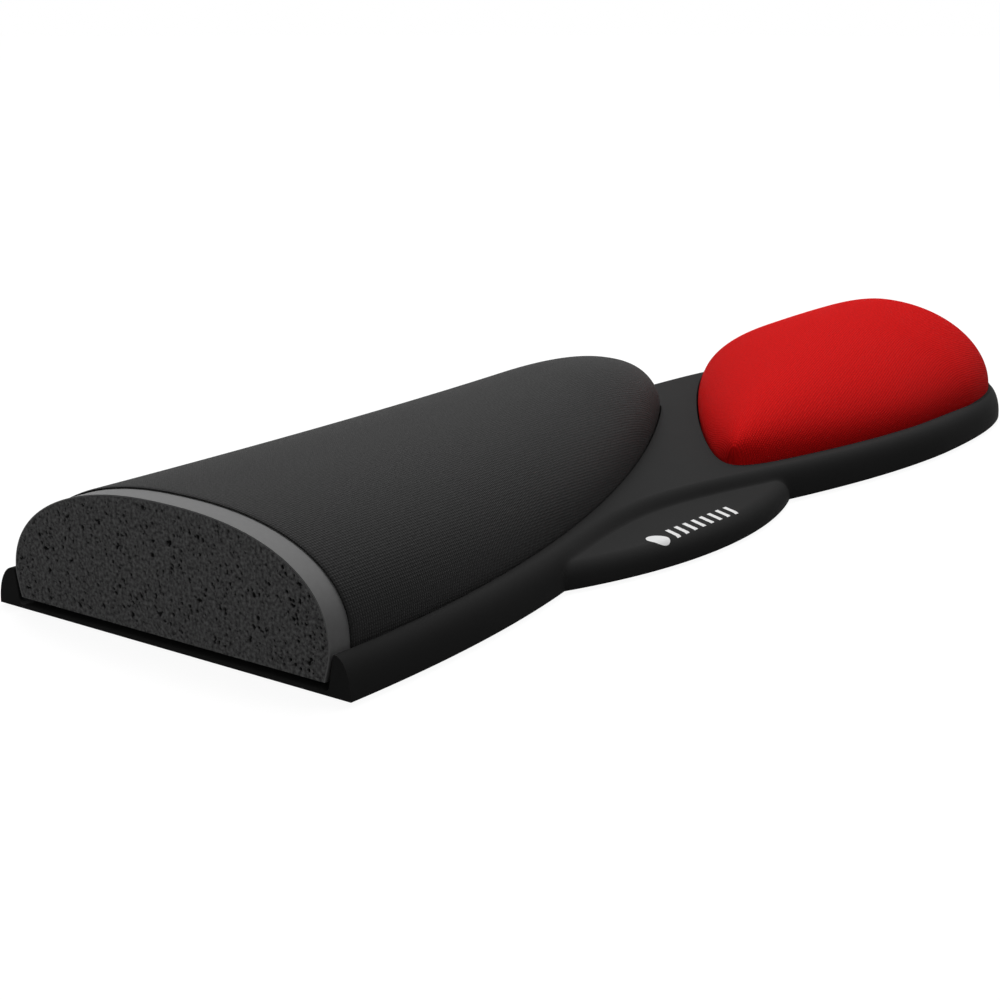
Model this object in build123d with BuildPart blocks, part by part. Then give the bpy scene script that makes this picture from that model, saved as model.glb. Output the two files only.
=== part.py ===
"""Wrist rest with a long keyboard pad and a palm pad, both seated in one moulded tray.

The keyboard end is sectioned flat, across the length, so that the layers of the long pad show.
Millimetres. +X runs from the sectioned end to the palm end, +Y from the user to the back,
and +Z up. The origin is on the surface that the feet stand on, in the middle of the length
and the depth. Plan sizes are measured as x from the sectioned end and y from the front line.
"""

from build123d import *
from math import cos, pi, sin
import os

os.makedirs("parts", exist_ok=True)

# Tray
rest_length = 298.7
rest_depth = 91.0
tray_height = 7.6
floor_thickness = 0.7
rim_width = 3.7
back_rim_width = 4.4
edge_run = 3.7
edge_land = 0.4
section_front = 1.1
waist_to_nose = 39.0
waist_depth = 17.0
lobe_run = 72.7
end_run = 99.0
end_fullness = 3.24
tongue_half_width = 44.8
tongue_corner_depth = 8.8
tongue_height = 5.0
tongue_round = 3.4

# Keyboard pad
main_crown = 20.0
main_crown_gain = 0.9
main_taper_stop = 4.9
main_taper_power = 1.85
main_tip_to_end = 94.7
main_tip_radius = 8.6
main_fall_run = 69.0
main_fall_fullness = 2.0
main_front_fullness = 2.4
main_back_fullness = 2.2
cover_cut_back = 5.0
board_cut_back = 3.0

# Palm pad
palm_crown = 20.4
palm_length = 143.7
palm_tip_y = 18.5
palm_nose_run = 14.7
palm_nose_depth = 17.7
palm_front_run = 71.4
palm_front_power = 1.77
palm_front_y = 6.0
palm_back_run = 109.0
palm_back_fullness = 1.32
palm_end_run = 98.0
palm_end_fullness = 3.53
palm_rise_run = 49.8
palm_rise_fullness = 2.47
palm_fall_run = 12.3
palm_fall_fullness = 2.56
palm_fullness = 2.0

# Layers and fits
cover_thickness = 0.45
lining_thickness = 0.3
board_thickness = 1.3
adhesive_thickness = 0.2
adhesive_inset = 4.0
seat_clearance = 0.3
layer_clearance = 0.05
board_clearance = 0.3
cover_tuck = 0.6
spring_height = 7.4
tip_flat = 0.2
overrun = 1.0

# Cross-sections and points that each curved shape is drawn through
main_stations = 11
palm_stations = 13
end_stations = 8
crown_points = 12

# Feet
foot_radius = 6.0
foot_thickness = 0.9
foot_recess = 0.3
foot_edge = 0.3
foot_end_inset = 16.0
foot_side_inset = 15.0
foot_waist_inset = 12.0

# Levels above the surface that the feet stand on
tray_bottom = foot_thickness - foot_recess
tray_top = tray_bottom + tray_height
floor_top = tray_bottom + floor_thickness
board_bottom = floor_top + adhesive_thickness
core_bottom = board_bottom + board_thickness
cover_bottom = core_bottom - cover_tuck
spring_level = tray_bottom + spring_height
lining_inset = cover_thickness + layer_clearance
core_inset = lining_inset + lining_thickness + layer_clearance
board_inset = core_inset + board_clearance
glue_inset = board_inset + adhesive_inset
pad_front = section_front + rim_width + seat_clearance
pad_back = rest_depth - back_rim_width - seat_clearance
palm_end_inset = rim_width + seat_clearance

# Places along the length, all set out from the palm end
palm_tip_x = rest_length - palm_length
palm_front_x = rest_length - palm_front_run
lobe_x = rest_length - lobe_run
waist_x = palm_tip_x - waist_to_nose
main_tip_x = rest_length - main_tip_to_end
main_taper_run = main_tip_x - main_taper_stop
main_taper_rise = pad_back - 2 * main_tip_radius - pad_front


def place(x, y):
    """Turns a plan position, from the sectioned end and the front line, into the part's frame."""
    return (x - rest_length / 2, y - rest_depth / 2)


def fullness_arc(share, power):
    """Height of a unit arc at a share of its run: a circle at power 2, squarer above it."""
    return max(1 - min(max(share, 0), 1) ** power, 0) ** (1 / power)


def end_edges(x, inset, run, fullness):
    """Front and back edge of a squarish round palm end, as half a superellipse."""
    start = rest_length - run
    middle = rest_depth / 2
    reach = fullness_arc((x - start) / (run - inset), fullness)
    return middle - (middle - inset) * reach, middle + (middle - inset) * reach


def main_edges(x, inset):
    """Front and back edge of the keyboard pad: a power curve that runs into a round tip."""
    front = pad_front + inset
    front += main_taper_rise * (max(x, 0) / main_taper_run) ** main_taper_power
    back = pad_back - inset
    radius = main_tip_radius - inset
    past_centre = x - (main_tip_x - main_tip_radius)
    if past_centre > 0:
        half = max(radius**2 - past_centre**2, 0) ** 0.5
        front = max(front, back - radius - half)
        back = back - radius + half
    return front, back


def main_crown_share(x, inset):
    """Share of the crown height that the keyboard pad keeps on the way to its tip."""
    run = main_fall_run - inset
    return fullness_arc((x - (main_tip_x - main_fall_run)) / run, main_fall_fullness)


def palm_edges(x, inset):
    """Front and back edge of the palm pad: a round nose, a bowed front and a long bowed back."""
    bow_share = max(palm_front_x - x, 0) / (palm_front_x - palm_tip_x)
    bow = palm_front_y + (palm_nose_depth - palm_front_y) * bow_share**palm_front_power
    nose = fullness_arc((palm_tip_x + palm_nose_run - x) / (palm_nose_run - inset), 2)
    front = palm_tip_y - max(palm_tip_y - bow - inset, tip_flat) * nose
    sweep_share = (palm_tip_x + palm_back_run - x) / (palm_back_run - inset)
    back = palm_tip_y + (pad_back - inset - palm_tip_y) * fullness_arc(sweep_share, palm_back_fullness)
    end_front, end_back = end_edges(x, palm_end_inset + inset, palm_end_run, palm_end_fullness)
    return max(front, end_front), min(back, end_back)


def palm_crown_share(x, inset):
    """Share of the crown height that the palm pad has between its nose and its far end."""
    rise = (palm_tip_x + palm_rise_run - x) / (palm_rise_run - inset)
    far_end = rest_length - palm_end_inset
    fall = (x - (far_end - palm_fall_run)) / (palm_fall_run - inset)
    return fullness_arc(rise, palm_rise_fullness) * fullness_arc(fall, palm_fall_fullness)


def spread_to_end(start, end, count):
    """Stations from start to end that crowd together towards the end."""
    return [start + (end - start) * sin(pi / 2 * i / count) for i in range(count + 1)]


def spread_to_both(start, end, count):
    """Stations from start to end that crowd together towards both ends."""
    return [start + (end - start) * (1 - cos(pi * i / count)) / 2 for i in range(count + 1)]


def pad_section(x, front, back, top, front_fullness, back_fullness):
    """Closed cross-section of a pad at x: straight sides with a crowned top."""
    bottom = board_bottom - overrun
    middle = (front + back) / 2
    half = (back - front) / 2
    crown = []
    for i in range(crown_points + 1):
        across = -cos(pi * i / crown_points)
        fullness = front_fullness if across < 0 else back_fullness
        rise = (top - spring_level) * fullness_arc(abs(across), fullness)
        crown.append(place(x, middle + half * across)[1:] + (spring_level + rise,))
    front_y, back_y = crown[0][0], crown[-1][0]
    section_plane = Plane(origin=(place(x, 0)[0], 0, 0), x_dir=(0, 1, 0), z_dir=(1, 0, 0))
    with BuildSketch(section_plane) as section:
        with BuildLine():
            Spline(crown, tangents=[(0, 1), (0, -1)])
            Polyline((back_y, spring_level), (back_y, bottom), (front_y, bottom), (front_y, spring_level))
        make_face()
    return section.sketch


def main_form(inset):
    """Solid of the keyboard pad, drawn in from the outer surface by inset, with room to trim."""
    sections = []
    for x in spread_to_end(-overrun, main_tip_x - inset - tip_flat, main_stations):
        front, back = main_edges(x, inset)
        full_crown = main_crown + main_crown_gain * x / main_tip_x
        crown = (tray_top + full_crown - inset - spring_level) * main_crown_share(x, inset)
        top = spring_level + crown
        sections.append(pad_section(x, front, back, top, main_front_fullness, main_back_fullness))
    with BuildPart() as form:
        loft(sections)
    return form.part


def palm_form(inset):
    """Solid of the palm pad, drawn in from the outer surface by inset, with room to trim."""
    start = palm_tip_x + inset + tip_flat
    end = rest_length - palm_end_inset - inset - tip_flat
    sections = []
    for x in spread_to_both(start, end, palm_stations):
        front, back = palm_edges(x, inset)
        crown = (tray_top + palm_crown - inset - spring_level) * palm_crown_share(x, inset)
        sections.append(pad_section(x, front, back, spring_level + crown, palm_fullness, palm_fullness))
    with BuildPart() as form:
        loft(sections)
    return form.part


def trimmed(form, bottom, start=0):
    """The part of a form above bottom and beyond x = start."""
    with BuildPart() as piece:
        add(form)
        split(bisect_by=Plane.XY.offset(bottom), keep=Keep.TOP)
        split(bisect_by=Plane.YZ.offset(place(start, 0)[0]), keep=Keep.TOP)
    return piece.part


def plan_of(form):
    """Flat outline of a form's straight sides, laid on the ground."""
    with BuildPart() as sliced:
        add(form)
        outline = section(section_by=Plane.XY.offset(core_bottom))
    return outline.moved(Location((0, 0, -core_bottom)))


def tray_rim():
    """Edges of the tray's outline, from the front of the section round to the back of it."""
    stations = spread_to_end(lobe_x, rest_length, end_stations)
    edges = [end_edges(x, 0, end_run, end_fullness) for x in stations[:-1]]
    heel = place(rest_length, rest_depth / 2)
    shoulder = place(rest_length - end_run, rest_depth)
    with BuildLine() as rim:
        Spline(
            place(0, section_front),
            place(waist_x - tongue_half_width, tongue_corner_depth),
            place(waist_x, waist_depth),
            place(waist_x + tongue_half_width, tongue_corner_depth),
            place(lobe_x, edges[0][0]),
            tangents=[(1, 0), (1, 0)],
        )
        Spline(
            [place(x, edge[0]) for x, edge in zip(stations, edges)] + [heel],
            tangents=[(1, 0), (0, 1)],
        )
        Spline(
            [heel] + [place(x, edge[1]) for x, edge in zip(stations[-2::-1], edges[::-1])] + [shoulder],
            tangents=[(0, 1), (-1, 0)],
        )
        Line(shoulder, place(0, rest_depth))
    return rim.line


# Feet stand in pairs at the section, under the waist and at the palm end
foot_places = [
    place(x, y)
    for x, front_y in (
        (foot_end_inset, foot_side_inset),
        (waist_x, waist_depth + foot_waist_inset),
        (rest_length - foot_end_inset - foot_radius, foot_side_inset + foot_radius),
    )
    for y in (front_y, rest_depth - foot_side_inset)
]

# Tongue: a low lip in front of the waist, part of a large disc, with a rounded front edge
tongue_front_radius = (tongue_half_width**2 + tongue_corner_depth**2) / (2 * tongue_corner_depth)
tongue_root = waist_depth + edge_run

with BuildPart() as tongue:
    with BuildSketch(Plane.XY.offset(tray_bottom)):
        with Locations(place(waist_x, tongue_front_radius)):
            Circle(tongue_front_radius)
        with Locations(place(waist_x, tongue_root)):
            Rectangle(rest_length, rest_length, align=(Align.CENTER, Align.MIN), mode=Mode.SUBTRACT)
    extrude(amount=tongue_height)
    lip = tongue.edges().group_by(Axis.Z)[-1].filter_by(GeomType.CIRCLE)
    fillet(lip, tongue_round)

# Tray: one moulding with a rounded rim, a pocket for each pad and the tongue at its waist
with BuildPart() as tray:
    with BuildSketch(Plane.XY.offset(tray_bottom)):
        with BuildLine():
            add(tray_rim())
            Line(place(0, rest_depth), place(0, section_front))
        make_face()
    extrude(amount=tray_height)
    rim_start = Plane(origin=(*place(0, section_front), tray_bottom), x_dir=(0, 1, 0), z_dir=(1, 0, 0))
    with BuildSketch(rim_start):
        with BuildLine():
            EllipticalCenterArc(
                (edge_run, edge_land),
                x_radius=edge_run,
                y_radius=tray_height - edge_land,
                start_angle=90,
                arc_size=90,
            )
            Polyline(
                (0, edge_land),
                (-overrun, edge_land),
                (-overrun, tray_height + overrun),
                (edge_run, tray_height + overrun),
                (edge_run, tray_height),
            )
        make_face()
    sweep(path=tray_rim().moved(Location((0, 0, tray_bottom))), mode=Mode.SUBTRACT)
    add(tongue.part)
    for pocket in (main_form(-seat_clearance), palm_form(-seat_clearance)):
        with BuildSketch(Plane.XY.offset(floor_top)):
            add(plan_of(pocket))
        extrude(amount=tray_height, mode=Mode.SUBTRACT)
    with BuildSketch(Plane.XY.offset(tray_bottom)):
        with Locations(foot_places):
            Circle(foot_radius)
    extrude(amount=foot_recess, mode=Mode.SUBTRACT)

tray.part.label = "tray"
export_step(tray.part, "parts/tray.step")

# Keyboard pad, from the outside in: knitted cover, thin lining, foam core, board and adhesive
with BuildPart() as main_pad_cover:
    add(trimmed(main_form(0), cover_bottom, cover_cut_back))
    add(main_form(cover_thickness), mode=Mode.SUBTRACT)

with BuildPart() as main_pad_lining:
    add(trimmed(main_form(lining_inset), core_bottom))
    add(main_form(lining_inset + lining_thickness), mode=Mode.SUBTRACT)

with BuildPart() as main_pad_core:
    add(trimmed(main_form(core_inset), core_bottom))

with BuildPart() as main_pad_board:
    with BuildSketch(Plane.XY.offset(board_bottom)):
        add(plan_of(trimmed(main_form(board_inset), board_bottom, board_cut_back)))
    extrude(amount=board_thickness)

with BuildPart() as main_pad_adhesive:
    with BuildSketch(Plane.XY.offset(floor_top)):
        add(plan_of(trimmed(main_form(glue_inset), board_bottom, board_cut_back + adhesive_inset)))
    extrude(amount=adhesive_thickness)

# Palm pad: the same layers, closed all round
with BuildPart() as palm_pad_cover:
    add(trimmed(palm_form(0), cover_bottom))
    add(palm_form(cover_thickness), mode=Mode.SUBTRACT)

with BuildPart() as palm_pad_lining:
    add(trimmed(palm_form(lining_inset), core_bottom))
    add(palm_form(lining_inset + lining_thickness), mode=Mode.SUBTRACT)

with BuildPart() as palm_pad_core:
    add(trimmed(palm_form(core_inset), core_bottom))

with BuildPart() as palm_pad_board:
    with BuildSketch(Plane.XY.offset(board_bottom)):
        add(plan_of(palm_form(board_inset)))
    extrude(amount=board_thickness)

with BuildPart() as palm_pad_adhesive:
    with BuildSketch(Plane.XY.offset(floor_top)):
        add(plan_of(palm_form(glue_inset)))
    extrude(amount=adhesive_thickness)

layers = {
    "main_pad_cover": main_pad_cover,
    "main_pad_lining": main_pad_lining,
    "main_pad_core": main_pad_core,
    "main_pad_board": main_pad_board,
    "main_pad_adhesive": main_pad_adhesive,
    "palm_pad_cover": palm_pad_cover,
    "palm_pad_lining": palm_pad_lining,
    "palm_pad_core": palm_pad_core,
    "palm_pad_board": palm_pad_board,
    "palm_pad_adhesive": palm_pad_adhesive,
}
for name, layer in layers.items():
    layer.part.label = name
    export_step(layer.part, f"parts/{name}.step")

# Feet: six rubber discs set in shallow recesses under the tray
for number, centre in enumerate(foot_places, start=1):
    with BuildPart() as foot:
        with BuildSketch():
            with Locations(centre):
                Circle(foot_radius)
        extrude(amount=foot_thickness)
        fillet(foot.edges().group_by(Axis.Z)[0], foot_edge)
    foot.part.label = f"foot_{number}"
    export_step(foot.part, f"parts/foot_{number}.step")
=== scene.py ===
"""Wrist rest: a low dark tray, a long black knit pad cut open at one end, and a red knit palm pad.

Shapes are worked out in millimetres, as x from the sectioned end and y from the front line,
and placed in the part's frame, in metres, when a mesh is made.
"""

from math import atan2, pi, radians

import bmesh
import bpy
import numpy as np
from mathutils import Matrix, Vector
from mathutils.geometry import tessellate_polygon


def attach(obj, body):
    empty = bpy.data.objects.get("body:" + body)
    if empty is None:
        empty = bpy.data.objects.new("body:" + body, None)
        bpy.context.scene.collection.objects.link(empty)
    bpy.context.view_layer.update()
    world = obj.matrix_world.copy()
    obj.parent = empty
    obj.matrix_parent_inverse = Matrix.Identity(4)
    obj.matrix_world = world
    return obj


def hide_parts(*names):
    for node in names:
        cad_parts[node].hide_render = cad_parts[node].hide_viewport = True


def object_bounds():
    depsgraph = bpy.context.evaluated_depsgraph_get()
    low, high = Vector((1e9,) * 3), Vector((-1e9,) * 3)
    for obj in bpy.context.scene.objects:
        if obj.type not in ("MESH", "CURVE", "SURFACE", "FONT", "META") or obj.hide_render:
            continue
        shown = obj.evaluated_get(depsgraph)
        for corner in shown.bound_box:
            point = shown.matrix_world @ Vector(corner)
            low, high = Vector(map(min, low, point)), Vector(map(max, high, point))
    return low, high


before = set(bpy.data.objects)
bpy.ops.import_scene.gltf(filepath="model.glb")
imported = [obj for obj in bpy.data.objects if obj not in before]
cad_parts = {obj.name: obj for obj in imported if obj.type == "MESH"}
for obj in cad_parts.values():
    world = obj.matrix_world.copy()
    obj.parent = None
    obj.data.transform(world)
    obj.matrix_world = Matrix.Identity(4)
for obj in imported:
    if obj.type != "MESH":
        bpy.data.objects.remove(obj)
cad_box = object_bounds()
bpy.context.scene.view_settings.view_transform = "Standard"

# CAMERA
# Low and close, in front of the sectioned end, looking along the rest towards the palm pad
# through a long lens.
camera_data = bpy.data.cameras.new("camera")
camera_data.lens = 68.712
camera_data.sensor_width = 36.0
camera_data.clip_start = 0.01
camera_data.clip_end = 20.0
camera = bpy.data.objects.new("camera", camera_data)
camera.location = (-0.36901, -0.24329, 0.11247)
camera.rotation_euler = (radians(75.3206), 0.0, radians(-52.586))
bpy.context.collection.objects.link(camera)
bpy.context.scene.camera = camera

# STUDIO
# A white table and a white room. The floor is a large disc that keeps the soft shadow.
floor_radius = 6.0
floor_level = cad_box[0][2]
floor_sides = 96
turns = np.linspace(0, 2 * pi, floor_sides + 1)[:-1]
floor_rim = [floor_radius * np.cos(turns), floor_radius * np.sin(turns), 0 * turns + floor_level]
floor_points = np.stack(floor_rim, 1)
floor_mesh = bpy.data.meshes.new("studio_floor")
floor_mesh.from_pydata(floor_points.tolist(), [], [list(range(floor_sides))])
studio_floor = bpy.data.objects.new("studio_floor", floor_mesh)
bpy.context.collection.objects.link(studio_floor)

# The floor looks white to the camera and in reflections, a little whiter far off, and gives no light
floor_finish = bpy.data.materials.new("studio_floor")
floor_finish.use_nodes = True
nodes, links = floor_finish.node_tree.nodes, floor_finish.node_tree.links
matte = nodes["Principled BSDF"]
matte.inputs["Base Color"].default_value = (0.12, 0.12, 0.12, 1)
matte.inputs["Roughness"].default_value = 0.9
matte.inputs["Specular IOR Level"].default_value = 0.0
matte.inputs["Emission Color"].default_value = (1, 1, 1, 1)
light_path = nodes.new("ShaderNodeLightPath")
lift = nodes.new("ShaderNodeMath")
lift.operation = "MAXIMUM"
lift_scale = nodes.new("ShaderNodeMath")
lift_scale.operation = "MULTIPLY"
links.new(light_path.outputs["Is Camera Ray"], lift.inputs[0])
links.new(light_path.outputs["Is Glossy Ray"], lift.inputs[1])
floor_place = nodes.new("ShaderNodeTexCoord")
floor_reach = nodes.new("ShaderNodeVectorMath")
floor_reach.operation = "LENGTH"
far_lift = nodes.new("ShaderNodeMapRange")
far_lift.inputs["From Min"].default_value = 0.3
far_lift.inputs["From Max"].default_value = 1.6
far_lift.inputs["To Min"].default_value = 0.93
far_lift.inputs["To Max"].default_value = 1.0
links.new(floor_place.outputs["Object"], floor_reach.inputs[0])
links.new(floor_reach.outputs["Value"], far_lift.inputs["Value"])
links.new(far_lift.outputs["Result"], lift_scale.inputs[1])
links.new(lift.outputs[0], lift_scale.inputs[0])
links.new(lift_scale.outputs[0], matte.inputs["Emission Strength"])
floor_mesh.materials.append(floor_finish)

# The room is white to the camera, in reflections and through glass, and lights the rest only a little
room = bpy.data.worlds.new("room")
bpy.context.scene.world = room
room.use_nodes = True
nodes, links = room.node_tree.nodes, room.node_tree.links
nodes.clear()
room_output = nodes.new("ShaderNodeOutputWorld")
room_light = nodes.new("ShaderNodeBackground")
room_light.inputs["Color"].default_value = (1, 1, 1, 1)
room_light.inputs["Strength"].default_value = 0.05
room_seen = nodes.new("ShaderNodeBackground")
room_seen.inputs["Color"].default_value = (1, 1, 1, 1)
room_seen.inputs["Strength"].default_value = 1.0
room_path = nodes.new("ShaderNodeLightPath")
seen_or_mirrored = nodes.new("ShaderNodeMath")
seen_or_mirrored.operation = "MAXIMUM"
seen_at_all = nodes.new("ShaderNodeMath")
seen_at_all.operation = "MAXIMUM"
room_mix = nodes.new("ShaderNodeMixShader")
links.new(room_path.outputs["Is Camera Ray"], seen_or_mirrored.inputs[0])
links.new(room_path.outputs["Is Glossy Ray"], seen_or_mirrored.inputs[1])
links.new(seen_or_mirrored.outputs[0], seen_at_all.inputs[0])
links.new(room_path.outputs["Is Transmission Ray"], seen_at_all.inputs[1])
links.new(seen_at_all.outputs[0], room_mix.inputs[0])
links.new(room_light.outputs[0], room_mix.inputs[1])
links.new(room_seen.outputs[0], room_mix.inputs[2])
links.new(room_mix.outputs[0], room_output.inputs[0])


def softbox(name, place, target, size, power):
    """Square lamp of a given size, in metres, turned from its place to the target."""
    lamp = bpy.data.lights.new(name, "AREA")
    lamp.shape = "SQUARE"
    lamp.size = size
    lamp.energy = power
    lamp_object = bpy.data.objects.new(name, lamp)
    lamp_object.location = place
    aim = Vector(target) - Vector(place)
    lamp_object.rotation_euler = aim.to_track_quat("-Z", "Y").to_euler()
    bpy.context.collection.objects.link(lamp_object)


softbox("overhead", (0.4, 0.42, 1.3), (0.0, 0.0, 0.0), 0.8, 19.0)
softbox("right_fill", (1.2, -0.2, 0.6), (0.0, 0.0, 0.0), 0.6, 2.0)
softbox("front_fill", (-0.5, -1.0, 0.7), (0.0, 0.0, 0.02), 0.5, 2.5)
softbox("end_fill", (-1.2, 0.1, 0.5), (0.0, 0.0, 0.02), 0.5, 1.4)

# TRAY
# One moulding in matte charcoal plastic: a rounded rim, a pocket for each pad and a low tongue
# in front of the waist. It is cut flat at one end and stands on six feet.
rest_length, rest_depth = 298.7, 91.0
tray_bottom, tray_height = 0.6, 7.6
tray_top = tray_bottom + tray_height
floor_top = 1.3
rim_width, back_rim_width = 3.7, 4.4
edge_run, back_edge_run = 3.6, 4.2
edge_land = 0.4
section_front = 1.1
waist_x, waist_depth = 116.0, 17.0
lobe_x = 226.0
end_run, end_fullness = 99.0, 3.24
tongue_half_width, tongue_corner_depth = 44.8, 8.8
tongue_height, tongue_round = 5.0, 3.4
crease_blend = 2.6
pocket_round, pocket_fillet, wall_draft = 0.25, 1.2, 1.1
seat_clearance = 0.3


def place(points):
    """Metres in the part's frame, from millimetres from the sectioned end and the front line."""
    points = np.asarray(points, float)
    return (points - (rest_length / 2, rest_depth / 2, 0)) * 0.001


def spline_through(points, start_slope, end_slope, count):
    """Smooth curve: a cubic between each pair of points, with equal slope and curvature where
    two cubics meet, a given slope at each end, and the straight distance as its parameter."""
    points = np.asarray(points, float)
    gaps = np.linalg.norm(np.diff(points, axis=0), axis=1)
    knots = np.concatenate([[0], np.cumsum(gaps)])
    system = np.eye(len(points))
    rhs = np.zeros_like(points)
    rhs[0], rhs[-1] = start_slope, end_slope
    for i in range(1, len(points) - 1):
        before, after = gaps[i - 1], gaps[i]
        system[i, i - 1 : i + 2] = after, 2 * (before + after), before
        behind = after * (points[i] - points[i - 1]) / before
        ahead = before * (points[i + 1] - points[i]) / after
        rhs[i] = 3 * (behind + ahead)
    slopes = np.linalg.solve(system, rhs)
    at = np.linspace(0, knots[-1], count)
    piece = np.clip(np.searchsorted(knots, at, side="right") - 1, 0, len(gaps) - 1)
    gap = gaps[piece]
    t = ((at - knots[piece]) / gap)[:, None]
    gap = gap[:, None]
    p0, p1, m0, m1 = points[piece], points[piece + 1], slopes[piece], slopes[piece + 1]
    return (
        (2 * t**3 - 3 * t**2 + 1) * p0
        + (t**3 - 2 * t**2 + t) * gap * m0
        + (3 * t**2 - 2 * t**3) * p1
        + (t**3 - t**2) * gap * m1
    )


def even_steps(line, count):
    """The same line as count points at equal distances along it."""
    line = np.asarray(line, float)
    run = np.concatenate([[0], np.cumsum(np.linalg.norm(np.diff(line, axis=0), axis=1))])
    at = np.linspace(0, run[-1], count)
    return np.stack([np.interp(at, run, line[:, i]) for i in range(line.shape[1])], 1)


def left_normals(line, start=None, end=None, closed=False):
    """Unit normals to the left of a line's direction: the chord between each point's neighbours,
    turned a quarter turn."""
    if closed:
        chord = np.roll(line, -1, axis=0) - np.roll(line, 1, axis=0)
    else:
        chord = np.gradient(line, axis=0)
    normal = np.stack([-chord[:, 1], chord[:, 0]], 1)
    normal /= np.linalg.norm(normal, axis=1)[:, None]
    if start is not None:
        normal[0] = start
    if end is not None:
        normal[-1] = end
    return normal


def fullness_arc(share, power):
    """Height of a unit arc at a share of its run: (1 - share^power)^(1/power)."""
    return np.maximum(1 - np.clip(share, 0, 1) ** power, 0) ** (1 / power)


def end_edges(x, inset, run=end_run, fullness=end_fullness):
    """Front and back edge of a squarish round palm end, as half a superellipse."""
    reach = fullness_arc((x - rest_length + run) / (run - inset), fullness)
    half = (rest_depth / 2 - inset) * reach
    return rest_depth / 2 - half, rest_depth / 2 + half


def grid_faces(rows, columns, closed=False):
    """Quads of a grid whose points are stored row by row; closed joins the last row to the first."""
    index = np.arange(rows * columns).reshape(rows, columns)
    if closed:
        index = np.concatenate([index, index[:1]])
    corners = [index[:-1, :-1], index[1:, :-1], index[1:, 1:], index[:-1, 1:]]
    return np.stack([c.ravel() for c in corners], 1).tolist()


def flat_faces(rings):
    """Triangles that fill a flat outline, less its holes. Each ring holds points with a height."""
    return [list(t) for t in tessellate_polygon([[Vector(p) for p in ring] for ring in rings])]


def joined(parts):
    """One list of points and one of faces from several."""
    points, faces, count = [], [], 0
    for part_points, part_faces in parts:
        part_points = np.asarray(part_points, float).reshape(-1, 3)
        points.append(part_points)
        faces += [[i + count for i in face] for face in part_faces]
        count += len(part_points)
    return np.concatenate(points), faces


def solid_piece(name, points, faces, sharp_angle=32.0):
    """Object from placed points and faces: doubles merged, faces turned outwards, and smooth shading
    but for level faces and sharp edges."""
    mesh = bpy.data.meshes.new(name)
    mesh.from_pydata(place(points).tolist(), [], faces)
    work = bmesh.new()
    work.from_mesh(mesh)
    bmesh.ops.remove_doubles(work, verts=work.verts, dist=2e-6)
    bmesh.ops.dissolve_degenerate(work, edges=work.edges, dist=1e-6)
    bmesh.ops.recalc_face_normals(work, faces=work.faces)
    for face in work.faces:
        face.smooth = abs(face.normal.z) < 0.99999
    for edge in work.edges:
        if len(edge.link_faces) == 2 and edge.calc_face_angle(0) > radians(sharp_angle):
            edge.smooth = False
    work.to_mesh(mesh)
    work.free()
    piece = bpy.data.objects.new(name, mesh)
    bpy.context.collection.objects.link(piece)
    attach(piece, "root")
    return piece


# The outline: a spline past the waist, a superellipse round the palm end and a straight back
lobe_front = end_edges(np.array([lobe_x]), 0)[0][0]
front_points = [
    (0, section_front),
    (waist_x - tongue_half_width, tongue_corner_depth),
    (waist_x, waist_depth),
    (waist_x + tongue_half_width, tongue_corner_depth),
    (lobe_x, lobe_front),
]
fine_count, round_count = 2401, 1200
left_count, waist_count, right_count = 70, 141, 420
front_line = spline_through(front_points, (1, 0), (1, 0), fine_count)
corner_left = int(np.argmin(np.linalg.norm(front_line - front_points[1], axis=1)))
corner_right = int(np.argmin(np.linalg.norm(front_line - front_points[3], axis=1)))
round_share = np.sin(np.linspace(0, pi / 2, round_count))
end_x = lobe_x + (rest_length - lobe_x) * round_share
end_front, end_back = end_edges(end_x, 0)
shoulder_x = rest_length - end_run
back_x = shoulder_x + end_run * round_share
back_line = np.stack([back_x[::-1], end_edges(back_x, 0)[1][::-1]], 1)
end_line = np.concatenate([np.stack([end_x, end_front], 1), back_line[1:]])
plain_left = even_steps(front_line[: corner_left + 1], left_count)
waist_line = even_steps(front_line[corner_left : corner_right + 1], waist_count)
right_and_back = np.concatenate([front_line[corner_right:], end_line[1:], [(0, rest_depth)]])
plain_right = even_steps(right_and_back, right_count)

# The tongue's front edge: an arc of a large disc between the two corners
disc_radius = (tongue_half_width**2 + tongue_corner_depth**2) / (2 * tongue_corner_depth)
disc_centre = np.array([waist_x, disc_radius])
corner_turn = atan2(waist_line[0][0] - waist_x, disc_radius - waist_line[0][1])
tongue_turns = np.linspace(corner_turn, -corner_turn, len(waist_line))
tongue_line = disc_centre + disc_radius * np.stack([np.sin(tongue_turns), -np.cos(tongue_turns)], 1)
tongue_line[0], tongue_line[-1] = waist_line[0], waist_line[-1]

rim_outer = np.concatenate([plain_left[:-1], tongue_line, plain_right[1:]])
rim_base = np.concatenate([plain_left[:-1], waist_line, plain_right[1:]])

back_from_y, back_blend_y = 50, 20
back_until_x, back_blend_x = 240, 60


def rim_run(plan):
    """Width of the rim's round at a place: wider along the straight back than elsewhere."""
    behind = np.clip((plan[..., 1] - back_from_y) / back_blend_y, 0, 1)
    behind = behind * np.clip((back_until_x - plan[..., 0]) / back_blend_x, 0, 1)
    return edge_run + (back_edge_run - edge_run) * behind


rim_normals = left_normals(rim_base, start=(0, 1), end=(0, -1))
rim_inner = rim_base + rim_run(rim_base)[:, None] * rim_normals

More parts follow.
